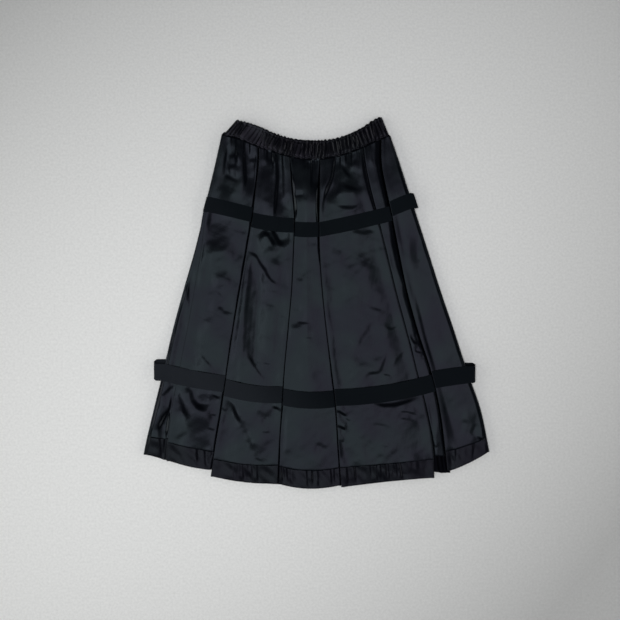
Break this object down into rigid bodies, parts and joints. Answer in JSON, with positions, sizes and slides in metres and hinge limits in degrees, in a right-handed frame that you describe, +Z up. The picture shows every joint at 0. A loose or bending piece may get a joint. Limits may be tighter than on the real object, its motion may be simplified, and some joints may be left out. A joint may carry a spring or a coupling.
{
  "type": "pleated skirt",
  "caption": "Flared satin skirt laid flat, with a gathered elastic waistband, lapped pleats, a hem band and woven straps caught in the seams.",
  "frame": {"origin": "middle of the skirt's outline, on the surface that it lies on", "axes": "+X across the skirt, +Y from the hem up to the waist, +Z up out of its front"},
  "size_m": [0.7597, 0.8159, 0.0184],
  "materials": {
    "satin": "smooth black satin with a soft cool sheen",
    "hem_satin": "duller puckered black satin",
    "waistband_satin": "gathered black satin over elastic",
    "tape": "matte black woven tape with fine ribs"
  },
  "bodies": {
    "root": {"back_gore_1": "satin", "back_gore_2": "satin", "back_hem": "hem_satin", "front_gore_1": "satin", "front_gore_1_hem": "hem_satin", "front_gore_2": "satin", "front_gore_2_hem": "hem_satin", "front_gore_3": "satin", "front_gore_3_hem": "hem_satin", "front_gore_4": "satin", "front_gore_4_hem": "hem_satin", "pleat_underlay": "satin", "pleat_underlay_hem": "hem_satin", "side_gore_left": "satin", "side_gore_left_hem": "hem_satin", "side_gore_right": "satin", "side_gore_right_hem": "hem_satin", "waistband": "waistband_satin", "upper_strap_1": "tape", "upper_strap_2": "tape", "upper_strap_3": "tape", "upper_strap_4": "tape", "upper_strap_5": "tape", "upper_strap_back": "tape", "lower_strap_1": "tape", "lower_strap_2": "tape", "lower_strap_3": "tape", "lower_strap_4": "tape", "lower_strap_5": "tape", "lower_strap_back": "tape"}
  },
  "joints": []
}
